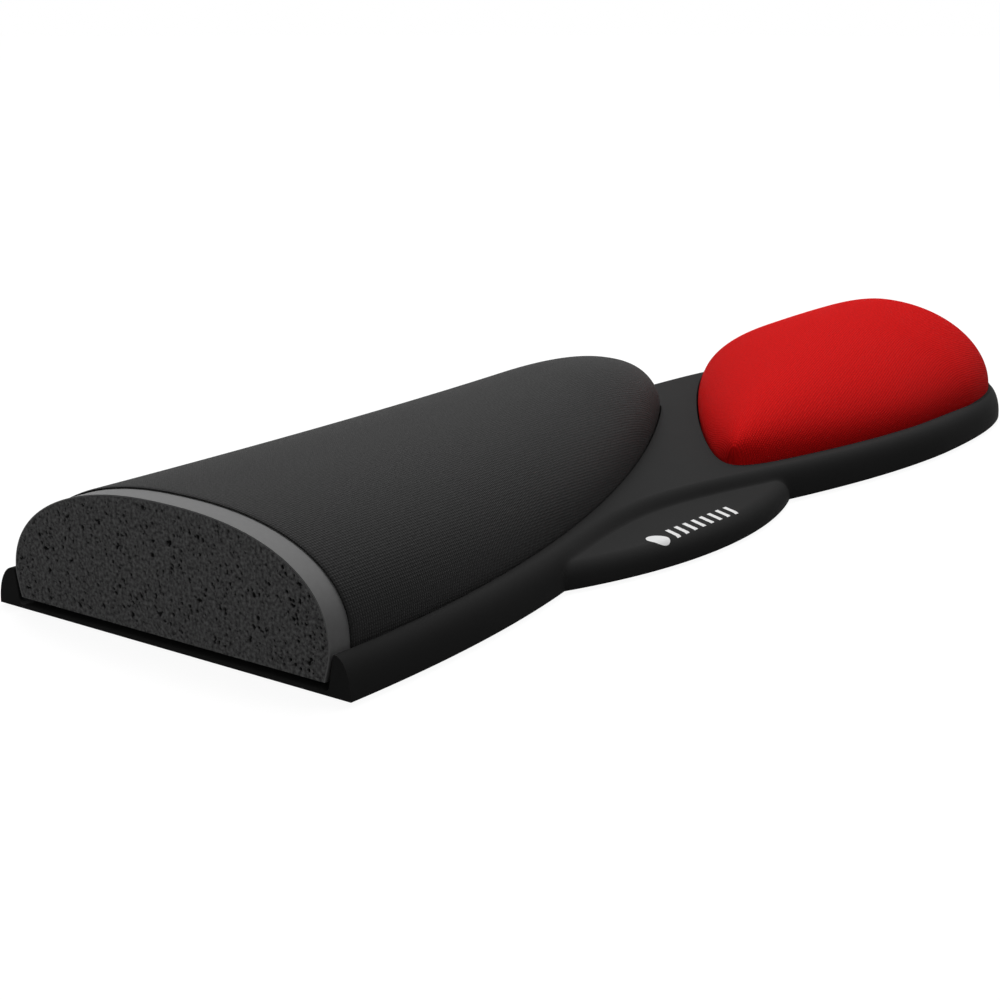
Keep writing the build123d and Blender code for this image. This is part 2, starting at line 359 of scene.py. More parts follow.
# Across the rim the points crowd where it is steep. Over the tongue they fall into three zones:
# its rounded lip, its level top, and the rim behind it.
across_count, zone_count = 56, 19
lip_share_of_overhang, rim_zone_stretch, tongue_blend_run = 0.5, 1.15, 4.0
turn = np.linspace(0, pi / 2, across_count)
rim_steps = 1 - np.cos(turn)
overhang = np.linalg.norm(rim_outer - rim_base, axis=1)
span = np.linalg.norm(rim_outer - rim_inner, axis=1)
lip_share = (np.minimum(tongue_round, overhang * lip_share_of_overhang) / span)[:, None]
rim_share = (np.minimum(edge_run * rim_zone_stretch, span) / span)[:, None]
zone_step = np.linspace(0, 1, zone_count)
rim_turn = np.linspace(0, pi / 2, across_count - 2 * (zone_count - 1))
lip_zone = lip_share * (1 - np.cos(zone_step * pi / 2))
top_zone = lip_share + (1 - lip_share - rim_share) * zone_step
rim_zone = (1 - rim_share) + rim_share * (1 - np.cos(rim_turn))
tongue_steps = np.concatenate([lip_zone[:, :-1], top_zone[:, :-1], rim_zone], 1)
blend = np.clip(overhang / tongue_blend_run, 0, 1)
blend = (blend**2 * (3 - 2 * blend))[:, None]
steps = rim_steps * (1 - blend) + tongue_steps * blend
rim_plan = rim_outer[:, None] + steps[:, :, None] * (rim_inner - rim_outer)[:, None]

guide_count, block_size = 2400, 2000
outside_slope, tongue_margin = 3.0, 2


def rim_height(plan, blend_run):
    """Height of the rim and tongue over a plan: each is a quarter ellipse of the distance from
    its own edge, and the higher one counts, with a soft concave fillet where they cross."""
    guide = even_steps(rim_base, guide_count)
    flat = plan.reshape(-1, 2)
    near = np.empty(len(flat))
    step = np.gradient(guide, axis=0)
    length = np.linalg.norm(step, axis=1)
    for first in range(0, len(flat), block_size):
        block = flat[first : first + block_size]
        nearest = np.linalg.norm(block[:, None] - guide[None], axis=2).argmin(1)
        away = block - guide[nearest]
        along = (away * step[nearest]).sum(1) / length[nearest]
        along = np.clip(along, -length[nearest], length[nearest])
        near[first : first + block_size] = np.sqrt(np.maximum((away**2).sum(1) - along**2, 0))
    near = near.reshape(plan.shape[:-1])
    waist_y = np.interp(plan[..., 0], front_line[:, 0], front_line[:, 1])
    outside = (plan[..., 1] < waist_y) & (plan[..., 0] < lobe_x)
    inside = np.where(outside, 0, near)
    rise = tray_height - edge_land
    rim = edge_land + rise * np.sqrt(1 - (1 - np.clip(inside / rim_run(plan), 0, 1)) ** 2)
    rim = rim - np.where(outside, near * outside_slope, 0)
    from_arc = disc_radius - np.linalg.norm(plan - disc_centre, axis=-1)
    lip = np.sqrt(1 - (1 - np.clip(from_arc / tongue_round, 0, 1)) ** 2)
    tongue = edge_land + (tongue_height - edge_land) * lip
    at_tongue = np.abs(plan[..., 0] - waist_x) < tongue_half_width + tongue_margin
    tongue = np.where(at_tongue & (plan[..., 1] < rest_depth / 2), tongue, 0)
    softness = np.maximum(blend_run, 1e-6)
    closeness = np.maximum(softness - np.abs(rim - tongue), 0) / softness
    blended = np.maximum(rim, tongue) + closeness**3 * softness / 6
    return tray_bottom + np.minimum(blended, tray_height)


crease_blend_run = 5.0
softness = crease_blend * np.clip(overhang / crease_blend_run, 0, 1)[:, None]
rim_levels = rim_height(rim_plan, softness)
rim_levels[:, 0] = tray_bottom + edge_land
rim_levels[:, -1] = tray_top
skirt = np.concatenate([rim_outer[:, None], rim_plan], 1)
skirt_levels = np.concatenate([np.full((len(rim_outer), 1), tray_bottom), rim_levels], 1)
rim_points = np.concatenate([skirt, skirt_levels[:, :, None]], 2)
rim_part = (rim_points, grid_faces(*skirt_levels.shape))


# The keyboard pad's plan: a power curve that runs into a round tip, with a straight back
pad_front = section_front + rim_width + seat_clearance
pad_back = rest_depth - back_rim_width - seat_clearance
main_tip_x, main_tip_radius = 204.0, 8.6
main_taper_run, main_taper_power = 199.1, 1.85
main_taper_rise = pad_back - 2 * main_tip_radius - pad_front


def main_edges(x, inset):
    """Front and back edge of the keyboard pad, drawn in by inset. Past the tip circle's start
    the back follows the circle, and the front eases over onto it."""
    taper = (np.maximum(x, 0) / main_taper_run) ** main_taper_power
    front = pad_front + inset + main_taper_rise * taper
    radius = main_tip_radius - inset
    past = np.maximum(x - (main_tip_x - main_tip_radius), 0)
    half = np.sqrt(np.maximum(radius**2 - past**2, 0))
    middle = pad_back - inset - radius
    front = front + (middle - half - front) * np.minimum(past / radius, 1) ** 2
    back = middle + half
    return np.minimum(front, back), back


# The palm pad's plan: a bowed front and a long bowed back run into a nose, inside the rim's line
palm_start_x, palm_start_y = 154.5, 20.5
palm_nose_run, palm_nose_front, palm_nose_back = 8.7, 18.0, 22.5
palm_front_x, palm_front_y, palm_front_power = 225.0, 5.9, 1.7
palm_back_run, palm_back_bow = 96.6, 1.13
palm_end_run, palm_end_fullness = 98.0, 3.53
palm_end_inset = rim_width + seat_clearance
palm_least_half = 0.2
palm_fine_count, palm_line_count = 3000, 1200
palm_span = rest_length - palm_end_inset - palm_start_x
x = palm_start_x + palm_span * (1 - np.cos(np.linspace(0, pi, palm_fine_count))) / 2
nose = fullness_arc((palm_start_x + palm_nose_run - x) / palm_nose_run, 2)
share = np.maximum(palm_front_x - x, 0) / (palm_front_x - palm_start_x)
bow = palm_front_y + (palm_nose_front - palm_front_y) * share**palm_front_power
sweep = fullness_arc((palm_start_x + palm_back_run - x) / palm_back_run, palm_back_bow)
front = palm_start_y - np.maximum(palm_start_y - bow, palm_least_half) * nose
back = palm_start_y + (palm_nose_back - palm_start_y) * nose + (pad_back - palm_nose_back) * sweep
end_front, end_back = end_edges(x, palm_end_inset, palm_end_run, palm_end_fullness)
front, back = np.maximum(front, end_front), np.minimum(back, end_back)
palm_line = np.concatenate([np.stack([x, front], 1), np.stack([x, back], 1)[-2::-1]])
palm_line = even_steps(palm_line, palm_line_count + 1)[:-1]

# The outline's corners are rounded by a bell-shaped average along its run, over reach points
# to each side
reach, spread = 33, 8.0
weights = np.exp(-0.5 * (np.arange(-reach, reach + 1) / spread) ** 2)
weights = weights / weights.sum()
wrapped = np.concatenate([palm_line[-reach:], palm_line, palm_line[:reach]])
palm_line = np.stack([np.convolve(wrapped[:, i], weights, "valid") for i in (0, 1)], 1)
palm_inward = left_normals(palm_line, closed=True)
palm_tip_x, palm_far_x = palm_line[:, 0].min(), palm_line[:, 0].max()


def palm_edges(x, inset):
    """Front and back edge of the palm pad, drawn in by inset, read off its outline."""
    line = palm_line + inset * palm_inward
    line = np.roll(line, -int(line[:, 0].argmin()), axis=0)
    far = int(line[:, 0].argmax())
    front = line[: far + 1]
    back = np.concatenate([line[far:], line[:1]])[::-1]
    return np.interp(x, front[:, 0], front[:, 1]), np.interp(x, back[:, 0], back[:, 1])


# Pockets: walls that lean in a little, with a rounded top edge and a fillet down to a thin floor
main_fine_count, pocket_fine_count, pocket_line_count = 1500, 2000, 361
pocket_x = main_tip_x + seat_clearance
x = pocket_x * np.sin(np.linspace(0, pi / 2, main_fine_count))
front, back = main_edges(x, -seat_clearance)
main_pocket = np.concatenate([np.stack([x, front], 1), np.stack([x, back], 1)[-2::-1]])
main_pocket = even_steps(main_pocket, pocket_line_count)
start, end = palm_tip_x - seat_clearance, palm_far_x + seat_clearance
x = start + (end - start) * (1 - np.cos(np.linspace(0, pi, pocket_fine_count))) / 2
front, back = palm_edges(x, -seat_clearance)
palm_pocket = np.concatenate([np.stack([x, front], 1), np.stack([x, back], 1)[-2::-1]])
palm_pocket = even_steps(palm_pocket, pocket_line_count)[:-1]

edge_turn = np.linspace(0, pi / 2, 6)
fillet_turn = np.linspace(0, pi / 2, 9)
wall_out = np.concatenate(
    [
        pocket_round * (1 - np.sin(edge_turn)),
        -wall_draft - pocket_fillet * (1 - np.cos(fillet_turn)),
    ]
)
wall_levels = np.concatenate(
    [
        tray_top - pocket_round * (1 - np.cos(edge_turn)),
        floor_top + pocket_fillet * (1 - np.sin(fillet_turn)),
    ]
)


def pocket_wall(line, closed):
    """Wall of a pocket: the edge, wall and fillet profile carried along the pocket's outline."""
    ends = {} if closed else {"start": (0, 1), "end": (0, -1)}
    outward = -left_normals(line, closed=closed, **ends)
    plan = line[:, None] + wall_out[None, :, None] * outward[:, None]
    levels = np.broadcast_to(wall_levels, plan.shape[:2])
    return np.concatenate([plan, levels[..., None]], 2)


main_wall = pocket_wall(main_pocket, closed=False)
palm_wall = pocket_wall(palm_pocket, closed=True)
main_wall_part = (main_wall, grid_faces(*main_wall.shape[:2]))
palm_wall_part = (palm_wall, grid_faces(*palm_wall.shape[:2], closed=True))
land_ring = np.concatenate([rim_points[:, -1], main_wall[::-1, 0]])
land_part = (np.concatenate([land_ring, palm_wall[:, 0]]), flat_faces([land_ring, palm_wall[:, 0]]))
main_floor_part = (main_wall[:, -1], flat_faces([main_wall[:, -1]]))
palm_floor_part = (palm_wall[:, -1], flat_faces([palm_wall[:, -1]]))

# The cut face is the tray's own profile, and the underside has six round recesses for the feet
cut_ring = np.concatenate([rim_points[0], main_wall[0], main_wall[-1, ::-1], rim_points[-1, ::-1]])
cut_turned = cut_ring[:, [1, 2, 0]]
cut_part = (cut_ring, flat_faces([cut_turned]))
foot_radius, foot_recess, foot_gap = 6.0, 0.3, 0.1
foot_places = [(16, 15), (16, 76), (116, 29), (116, 76), (276.7, 21), (276.7, 76)]
recess_sides = 48
recess_levels = (tray_bottom, tray_bottom + foot_recess)
rings = [rim_points[:, 0]]
recess_parts = []
circle_turn = np.linspace(0, 2 * pi, recess_sides + 1)[:-1]
circle = np.stack([np.cos(circle_turn), np.sin(circle_turn)], 1) * (foot_radius + foot_gap)
for foot_place in foot_places:
    plan = circle + foot_place
    ring = np.stack([np.append(plan, np.full((recess_sides, 1), z), 1) for z in recess_levels], 1)
    rings.append(ring[:, 0])
    recess_parts.append((ring, grid_faces(recess_sides, 2, closed=True)))
    recess_parts.append((ring[:, 1], [list(range(recess_sides))]))
under_part = (np.concatenate(rings), flat_faces(rings))

pocket_parts = [main_wall_part, palm_wall_part, main_floor_part, palm_floor_part]
tray_parts = [rim_part, land_part, *pocket_parts, cut_part, under_part, *recess_parts]
tray_points, tray_faces = joined(tray_parts)
tray = solid_piece("tray_moulding", tray_points, tray_faces)
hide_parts("tray")


def new_finish(name, roughness, gloss):
    """Material whose shader has a given roughness and gloss level, and that shader."""
    finish = bpy.data.materials.new(name)
    finish.use_nodes = True
    shader = finish.node_tree.nodes["Principled BSDF"]
    shader.inputs["Roughness"].default_value = roughness
    shader.inputs["Specular IOR Level"].default_value = gloss
    return finish, shader


def speckle(finish, scale, detail=2.0):
    """Noise in the piece's own space, from 0 to 1."""
    nodes, links = finish.node_tree.nodes, finish.node_tree.links
    where = nodes.new("ShaderNodeTexCoord")
    noise = nodes.new("ShaderNodeTexNoise")
    noise.inputs["Scale"].default_value = scale
    noise.inputs["Detail"].default_value = detail
    links.new(where.outputs["Object"], noise.inputs["Vector"])
    return noise.outputs["Fac"]


def spread_to(finish, value, low, high, start=0.0, end=1.0):
    """A value from start to end, moved to the range from low to high and held within it."""
    nodes, links = finish.node_tree.nodes, finish.node_tree.links
    change = nodes.new("ShaderNodeMapRange")
    change.inputs["From Min"].default_value = start
    change.inputs["From Max"].default_value = end
    change.inputs["To Min"].default_value = low
    change.inputs["To Max"].default_value = high
    links.new(value, change.inputs["Value"])
    return change.outputs["Result"]


def add_grain(finish, shader, value, strength, depth):
    """Bump on the shader: a value as a height of up to depth, in metres."""
    nodes, links = finish.node_tree.nodes, finish.node_tree.links
    bump = nodes.new("ShaderNodeBump")
    bump.inputs["Strength"].default_value = strength
    bump.inputs["Distance"].default_value = depth
    links.new(value, bump.inputs["Height"])
    links.new(bump.outputs["Normal"], shader.inputs["Normal"])


charcoal, shader = new_finish("charcoal_plastic", 0.6, 0.004)
tone = spread_to(charcoal, speckle(charcoal, 60.0, 4.0), 0.026, 0.03)
add_grain(charcoal, shader, speckle(charcoal, 2600.0), 0.12, 0.00004)
tray.data.materials.append(charcoal)

# A plain printed mark on the tongue: a dot and a row of slanted bars, in white
mark_centre = (113.0, 5.2)
mark_least_height = 4.0
bar_pitch, bar_half_share, bar_slant = 3.3, 0.2, 0.5
row_centre, row_half_length, row_half_height = 4.0, 13.2, 2.3
dot_to_centre, dot_radius = 14.0, 2.5
nodes, links = charcoal.node_tree.nodes, charcoal.node_tree.links
where = nodes.new("ShaderNodeTexCoord")
in_mark = nodes.new("ShaderNodeMapping")
in_mark.inputs["Scale"].default_value = (1000, 1000, 1000)
in_mark.inputs["Location"].default_value = (
    rest_length / 2 - mark_centre[0],
    rest_depth / 2 - mark_centre[1],
    0,
)
split_mark = nodes.new("ShaderNodeSeparateXYZ")
links.new(where.outputs["Object"], in_mark.inputs["Vector"])
links.new(in_mark.outputs["Vector"], split_mark.inputs["Vector"])


def worked_out(operation, *terms):
    """Output of a math node in the tray's finish, from outputs or plain numbers."""
    node = charcoal.node_tree.nodes.new("ShaderNodeMath")
    node.operation = operation
    for socket, term in zip(node.inputs, terms):
        if isinstance(term, (int, float)):
            socket.default_value = term
        else:
            charcoal.node_tree.links.new(term, socket)
    return node.outputs[0]


along, over, height = split_mark.outputs["X"], split_mark.outputs["Y"], split_mark.outputs["Z"]
slanted = worked_out("MULTIPLY_ADD", over, -bar_slant, along)
bar_step = worked_out("FRACT", worked_out("DIVIDE", slanted, bar_pitch))
from_bar = worked_out("ABSOLUTE", worked_out("SUBTRACT", bar_step, 0.5))
from_row = worked_out("ABSOLUTE", worked_out("SUBTRACT", slanted, row_centre))
in_bar = worked_out("LESS_THAN", from_bar, bar_half_share)
in_row = worked_out("LESS_THAN", from_row, row_half_length)
in_height = worked_out("LESS_THAN", worked_out("ABSOLUTE", over), row_half_height)
bars = worked_out("MULTIPLY", in_bar, worked_out("MULTIPLY", in_row, in_height))
dot_place = worked_out("ADD", along, dot_to_centre)
dot_along, dot_over = worked_out("MULTIPLY", dot_place, dot_place), worked_out("MULTIPLY", over, over)
dot = worked_out("LESS_THAN", worked_out("ADD", dot_along, dot_over), dot_radius**2)
on_top = worked_out("GREATER_THAN", height, mark_least_height)
mark = worked_out("MULTIPLY", worked_out("MAXIMUM", bars, dot), on_top)
print_mix = nodes.new("ShaderNodeMix")
print_mix.data_type = "RGBA"
print_mix.inputs["B"].default_value = (0.8, 0.8, 0.8, 1)
links.new(mark, print_mix.inputs["Factor"])
links.new(tone, print_mix.inputs["A"])
links.new(print_mix.outputs["Result"], shader.inputs["Base Color"])

# FOAM
# Open-cell foam in dark grey, bonded to a stiff board. The flat cut shows its pores as small
# pits of many sizes over a fine grain, with painted shade that darkens them.
core_bottom = 2.8
spring_level = 8.0
side_lean, lean_power, lean_limit = 1.3, 1.2, 0.4
main_crown, main_crown_gain = 20.0, 0.9
main_fall_run, main_fall_fullness = 69.0, 2.0
main_front_fullness, main_back_fullness = 2.4, 2.2
cover_thickness, lining_thickness, layer_clearance = 0.45, 0.3, 0.05
lining_inset = cover_thickness + layer_clearance
core_inset = lining_inset + lining_thickness + layer_clearance


def main_surface(x, across, inset):
    """Top of the keyboard pad at x and a share across it from -1 to 1: the crown is a
    superellipse over the width, and its height falls as another towards the tip."""
    front, back = main_edges(x, inset)
    share = fullness_arc((x - main_tip_x + main_fall_run) / (main_fall_run - inset), main_fall_fullness)
    full_crown = main_crown + main_crown_gain * x / main_tip_x
    crown = (tray_top + full_crown - inset - spring_level) * share
    y = (front + back) / 2 + (back - front) / 2 * across
    fullness = np.where(across < 0, main_front_fullness, main_back_fullness)
    z = spring_level + crown * fullness_arc(np.abs(across), fullness)
    return np.stack(np.broadcast_arrays(x, y, z), -1)


def leaned(points, edges, inset):
    """Points of a pad whose sides lean in below the tray's top edge, as the pocket's walls do."""
    front, back = edges(points[..., 0], inset)
    middle, half = (front + back) / 2, (back - front) / 2
    depth = np.clip((spring_level - points[..., 2]) / (spring_level - core_bottom), 0, 1)
    lean = np.minimum(side_lean * depth**lean_power, lean_limit * half) / np.maximum(half, 1e-6)
    points[..., 1] = middle + (points[..., 1] - middle) * (1 - lean)
    return points


def across_steps(count, crowded, even):
    """Shares across a pad from -1 to 1: a crowded part that gathers at the sides, and an even one."""
    angle = np.linspace(0, pi, count)
    return -(crowded * np.cos(angle) + even * (1 - 2 * angle / pi))


face_columns, face_rows = 521, 121
pore_count, pore_depth_share, ripple_height = 1500, 2.2, 0.03
top_fade_rate, side_fade_rate = 12, 60
random = np.random.default_rng(7)
across = across_steps(face_columns, 0.55, 0.45)
top = main_surface(np.zeros(face_columns), across, core_inset)
rise = np.linspace(0, 1, face_rows)
face_y = np.broadcast_to(top[:, 1][:, None], (face_columns, face_rows))
face_z = core_bottom + rise[None] * (top[:, 2] - core_bottom)[:, None]
pore_y = random.uniform(face_y.min(), face_y.max(), pore_count)
pore_z = random.uniform(core_bottom, face_z.max(), pore_count)
pore_size = random.choice([0.16, 0.23, 0.32, 0.42], pore_count, p=[0.45, 0.35, 0.15, 0.05])
pore_size = pore_size * random.uniform(0.85, 1.15, pore_count)
pit = np.zeros(face_y.shape)
for y0, z0, size in zip(pore_y, pore_z, pore_size):
    near = ((face_y - y0) ** 2 + (face_z - z0) ** 2) / size**2
    bowl = size * pore_depth_share * np.sqrt(np.maximum(1 - near, 0))
    pit = np.maximum(pit, np.where(near < 1, bowl, 0))
ripple = random.normal(size=(face_columns, face_rows))
top_fade = np.minimum(rise, 1 - rise)[None] * top_fade_rate
side_fade = (1 - np.abs(across))[:, None] * side_fade_rate
face_x = (pit + ripple_height * ripple) * np.minimum(top_fade, side_fade).clip(0, 1)
face = leaned(np.stack([0 * face_x, face_y, face_z], 2), main_edges, core_inset)
face[..., 0] = face_x
face_part = (face, grid_faces(face_columns, face_rows))

# The body carries the outline of the cut face back to the tip, at stations along x
ring_columns = np.concatenate(
    [
        np.arange(face_columns),
        np.full(face_rows - 2, face_columns - 1),
        np.arange(face_columns)[::-1],
        np.zeros(face_rows - 2, int),
    ]
)
ring_rows = np.concatenate(
    [
        np.zeros(face_columns, int),
        np.arange(1, face_rows - 1),
        np.full(face_columns, face_rows - 1),
        np.arange(1, face_rows - 1)[::-1],
    ]
)
core_tip_flat = 0.3
near_x, far_x = np.linspace(0, 170, 18), np.linspace(172, main_tip_x - core_inset - core_tip_flat, 14)
body_x = np.append(near_x, far_x)
body_top = main_surface(body_x[:, None], across[ring_columns][None], core_inset)
body = body_top.copy()
body[..., 2] = core_bottom + rise[ring_rows][None] * (body_top[..., 2] - core_bottom)
body_points = leaned(body, main_edges, core_inset).transpose(1, 0, 2)
body_part = (body_points, grid_faces(*body_points.shape[:2], closed=True))
cap_part = (body[-1], [list(range(body.shape[1]))])
foam_points, foam_faces = joined([face_part, body_part, cap_part])
foam = solid_piece("keyboard_pad_foam", foam_points, foam_faces, sharp_angle=60)
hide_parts("main_pad_core")

# Painted shade in the pores: the foam's colour darkens inside them, with the depth behind the cut face
pore_shade_from, pore_shade_to, pore_painted_shade = 0.1, 0.4, 0.06
foam_finish, shader = new_finish("open_cell_foam", 0.9, 0.15)
cells = speckle(foam_finish, 1500.0, 3.0)
add_grain(foam_finish, shader, cells, 0.6, 0.0002)
nodes, links = foam_finish.node_tree.nodes, foam_finish.node_tree.links
where = nodes.new("ShaderNodeTexCoord")
split_place = nodes.new("ShaderNodeSeparateXYZ")
shade_start_x, full_shade_x = [(depth - rest_length / 2) * 0.001 for depth in (pore_shade_from, pore_shade_to)]
painted_pore_shade = spread_to(foam_finish, split_place.outputs["X"], 1.0, pore_painted_shade, shade_start_x, full_shade_x)
tone_with_pore_shade = nodes.new("ShaderNodeMath")
tone_with_pore_shade.operation = "MULTIPLY"
links.new(where.outputs["Object"], split_place.inputs["Vector"])
links.new(spread_to(foam_finish, cells, 0.04, 0.2, 0.3, 0.7), tone_with_pore_shade.inputs[0])
links.new(painted_pore_shade, tone_with_pore_shade.inputs[1])
links.new(tone_with_pore_shade.outputs[0], shader.inputs["Base Color"])
foam.data.materials.append(foam_finish)

# LINING
# A thin smooth grey layer of cloth, bonded over the foam. It shows as a band at the cut end,
# where the cover stops short of it.
arc = -np.cos(np.linspace(0, pi, 121))
lining_tip_x = main_tip_x - lining_inset
lining_spans = [np.linspace(0, 8, 5), np.linspace(12, 170, 40), np.linspace(172, lining_tip_x, 30)]
lining_x = np.concatenate(lining_spans)
side_count = 4


def pad_shell(surface, edges, x, across, inset, bottom):
    """A pad's top with its sides down to the bottom: x stations by points round the section."""
    top = surface(x[:, None], across[None], inset)
    levels = np.linspace(bottom, spring_level, side_count + 1)[:-1]
    front, back = np.repeat(top[:, :1], side_count, 1), np.repeat(top[:, -1:], side_count, 1)
    front[..., 2], back[..., 2] = levels, levels[::-1]
    return leaned(np.concatenate([front, top, back], 1), edges, inset)


lining_outer = pad_shell(main_surface, main_edges, lining_x, arc, lining_inset, core_bottom)
inner_inset = lining_inset + lining_thickness
lining_inner = pad_shell(main_surface, main_edges, lining_x, arc, inner_inset, core_bottom)
lining_inner[-1] = lining_outer[-1]
lining_grid = np.concatenate([lining_outer, lining_inner[:, ::-1]], 1).transpose(1, 0, 2)
lining_rim = np.stack([lining_outer[0], lining_inner[0]], 1)
lining_points, lining_faces = joined(
    [
        (lining_grid, grid_faces(*lining_grid.shape[:2], closed=True)),
        (lining_rim, grid_faces(*lining_rim.shape[:2])),
    ]
)
lining = solid_piece("keyboard_pad_lining", lining_points, lining_faces)
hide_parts("main_pad_lining")

lining_finish, shader = new_finish("grey_lining", 0.75, 0.2)
tone = spread_to(lining_finish, speckle(lining_finish, 900.0), 0.14, 0.165)
lining_finish.node_tree.links.new(tone, shader.inputs["Base Color"])
lining.data.materials.append(lining_finish)

# KEYBOARD PAD COVER
# A black knit pulled tight over the foam and tucked under the board. It is cut back 5 mm from
# the section, and its cut edge stands a fabric's thickness above the lining.
cover_bottom = 2.2
cover_cut_back = 5.0
cover_swell = 0.35
cloth_frames = 20
held_ends = 2


def taut_cover(name, grid, closed_end):
    """Tight cover from a grid of stations by points round the section: an open skin whose lower
    edges and ends are held, blown up a little as cloth. Each point moves by the swell at most."""
    stations, around = grid.shape[:2]
    mesh = bpy.data.meshes.new(name)
    mesh.from_pydata(place(grid.reshape(-1, 3)).tolist(), [], grid_faces(stations, around))
    piece = bpy.data.objects.new(name, mesh)
    bpy.context.collection.objects.link(piece)
    rest = np.empty(len(mesh.vertices) * 3)
    mesh.vertices.foreach_get("co", rest)
    rest = rest.reshape(-1, 3)
    held = piece.vertex_groups.new(name="held")
    index = np.arange(stations * around).reshape(stations, around)
    edge = [index[:, :side_count].ravel(), index[:, -side_count:].ravel(), index[-held_ends:].ravel()]
    if closed_end:
        edge.append(index[:held_ends].ravel())
    held.add(np.unique(np.concatenate(edge)).tolist(), 1.0, "REPLACE")
    cloth = piece.modifiers.new("cloth", "CLOTH")
    cloth.settings.vertex_group_mass = "held"
    cloth.settings.effector_weights.gravity = 0.0
    cloth.settings.use_pressure = True
    cloth.settings.uniform_pressure_force = 4.0
    cloth.settings.tension_stiffness = 30.0
    cloth.settings.compression_stiffness = 30.0
    cloth.point_cache.frame_start, cloth.point_cache.frame_end = 1, cloth_frames
    for number in range(1, cloth_frames + 1):
        bpy.context.scene.frame_set(number)
    swollen = piece.evaluated_get(bpy.context.evaluated_depsgraph_get()).to_mesh()
    moved = np.empty(len(rest) * 3)
    swollen.vertices.foreach_get("co", moved)
    step = np.nan_to_num(moved.reshape(-1, 3) - rest)
    size = np.linalg.norm(step, axis=1)[:, None]
    limit = cover_swell * 0.001
    step = step * np.minimum(1, limit / np.maximum(size, 1e-12))
    piece.modifiers.remove(cloth)
    piece.vertex_groups.clear()
    mesh.vertices.foreach_set("co", (rest + step).ravel())
    bpy.context.scene.frame_set(1)
    return piece


def finish_cover(piece, grid, thickness):
    """UV in units of 100 mm, along the pad and round the section, then doubles merged, smooth
    shading and the thickness inwards."""
    mesh = piece.data
    stations, around = grid.shape[:2]
    run = np.linalg.norm(np.diff(grid, axis=1), axis=2)
    girth = np.concatenate([np.zeros((stations, 1)), np.cumsum(run, axis=1)], 1)
    girth -= girth[:, around // 2][:, None]
    wales = np.stack([grid[..., 0], girth], 2).reshape(-1, 2)
    corners = np.empty(len(mesh.loops), int)
    mesh.loops.foreach_get("vertex_index", corners)
    layer = mesh.uv_layers.new(name="wales")
    layer.data.foreach_set("uv", (wales[corners] * 0.01).ravel())
    work = bmesh.new()
    work.from_mesh(mesh)
    bmesh.ops.remove_doubles(work, verts=work.verts, dist=2e-6)
    bmesh.ops.dissolve_degenerate(work, edges=work.edges, dist=1e-6)
    bmesh.ops.recalc_face_normals(work, faces=work.faces)
    if sum(face.normal.z for face in work.faces) < 0:
        bmesh.ops.reverse_faces(work, faces=work.faces)
    for face in work.faces:
        face.smooth = True
    work.to_mesh(mesh)
    work.free()
    shell = piece.modifiers.new("thickness", "SOLIDIFY")
    shell.thickness = thickness * 0.001
    shell.offset = -1
    shell.use_even_offset = False
    smooth = piece.modifiers.new("smooth", "SUBSURF")
    smooth.levels = smooth.render_levels = 1
    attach(piece, "root")


cover_arc = across_steps(89, 0.8, 0.2)
plain_end_x = 130
tip_rows = plain_end_x + (main_tip_x - plain_end_x) * np.sin(np.linspace(0, pi / 2, 56))
cover_x = np.concatenate([np.linspace(cover_cut_back, plain_end_x, 64)[:-1], tip_rows])
cover_grid = pad_shell(main_surface, main_edges, cover_x, cover_arc, 0.0, cover_bottom)
cover = taut_cover("keyboard_pad_cover", cover_grid, closed_end=False)
finish_cover(cover, cover_grid, cover_thickness)
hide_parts("main_pad_cover")


def knit_finish(name, dark, light, evenness, gloss, sheen_tint):
    """Fine jersey knit: rows of stitches along the pad crossed by wales, as two waves of the UV
    map, with a small bump, a little fuzz and a soft mottle. The more evenness, the less mottle."""
    finish, shader = new_finish(name, 0.75, gloss)
    nodes, links = finish.node_tree.nodes, finish.node_tree.links
    shader.inputs["Sheen Weight"].default_value = 0.03
    shader.inputs["Sheen Roughness"].default_value = 0.5
    shader.inputs["Sheen Tint"].default_value = (*sheen_tint, 1)
    wales = nodes.new("ShaderNodeUVMap")
    wales.uv_map = "wales"
    rows = nodes.new("ShaderNodeTexWave")
    rows.bands_direction = "Y"
    rows.inputs["Detail"].default_value = 1.0
    stitches = nodes.new("ShaderNodeTexWave")
    stitches.bands_direction = "X"
    for wave in (rows, stitches):
        wave.inputs["Scale"].default_value = 52.0
        wave.inputs["Distortion"].default_value = 0.4
    loops = nodes.new("ShaderNodeMath")
    loops.operation = "MULTIPLY"
    mottle = nodes.new("ShaderNodeTexNoise")
    mottle.inputs["Scale"].default_value = 150.0
    mottle.inputs["Detail"].default_value = 4.0
    mixed = nodes.new("ShaderNodeMath")
    mixed.operation = "MULTIPLY_ADD"
    mixed.inputs[1].default_value = 0.9 * evenness
    colour = nodes.new("ShaderNodeMix")
    colour.data_type = "RGBA"
    colour.inputs["A"].default_value = (*dark, 1)
    colour.inputs["B"].default_value = (*light, 1)
    for texture in (rows, stitches, mottle):
        links.new(wales.outputs["UV"], texture.inputs["Vector"])
    links.new(rows.outputs["Fac"], loops.inputs[0])
    links.new(stitches.outputs["Fac"], loops.inputs[1])
    links.new(loops.outputs[0], mixed.inputs[0])
    faint = spread_to(finish, mottle.outputs["Fac"], 0.0, 1.0 - 0.75 * evenness, 0.3, 0.7)
    links.new(faint, mixed.inputs[2])
    links.new(mixed.outputs[0], colour.inputs["Factor"])
    links.new(colour.outputs["Result"], shader.inputs["Base Color"])
    add_grain(finish, shader, loops.outputs[0], 0.6, 0.0002)
    return finish


black_dark, black_light, grey_fuzz = (0.003, 0.003, 0.003), (0.02, 0.02, 0.02), (0.5, 0.5, 0.5)
black_knit = knit_finish("black_knit", black_dark, black_light, 0.3, 0.1, grey_fuzz)
cover.data.materials.append(black_knit)

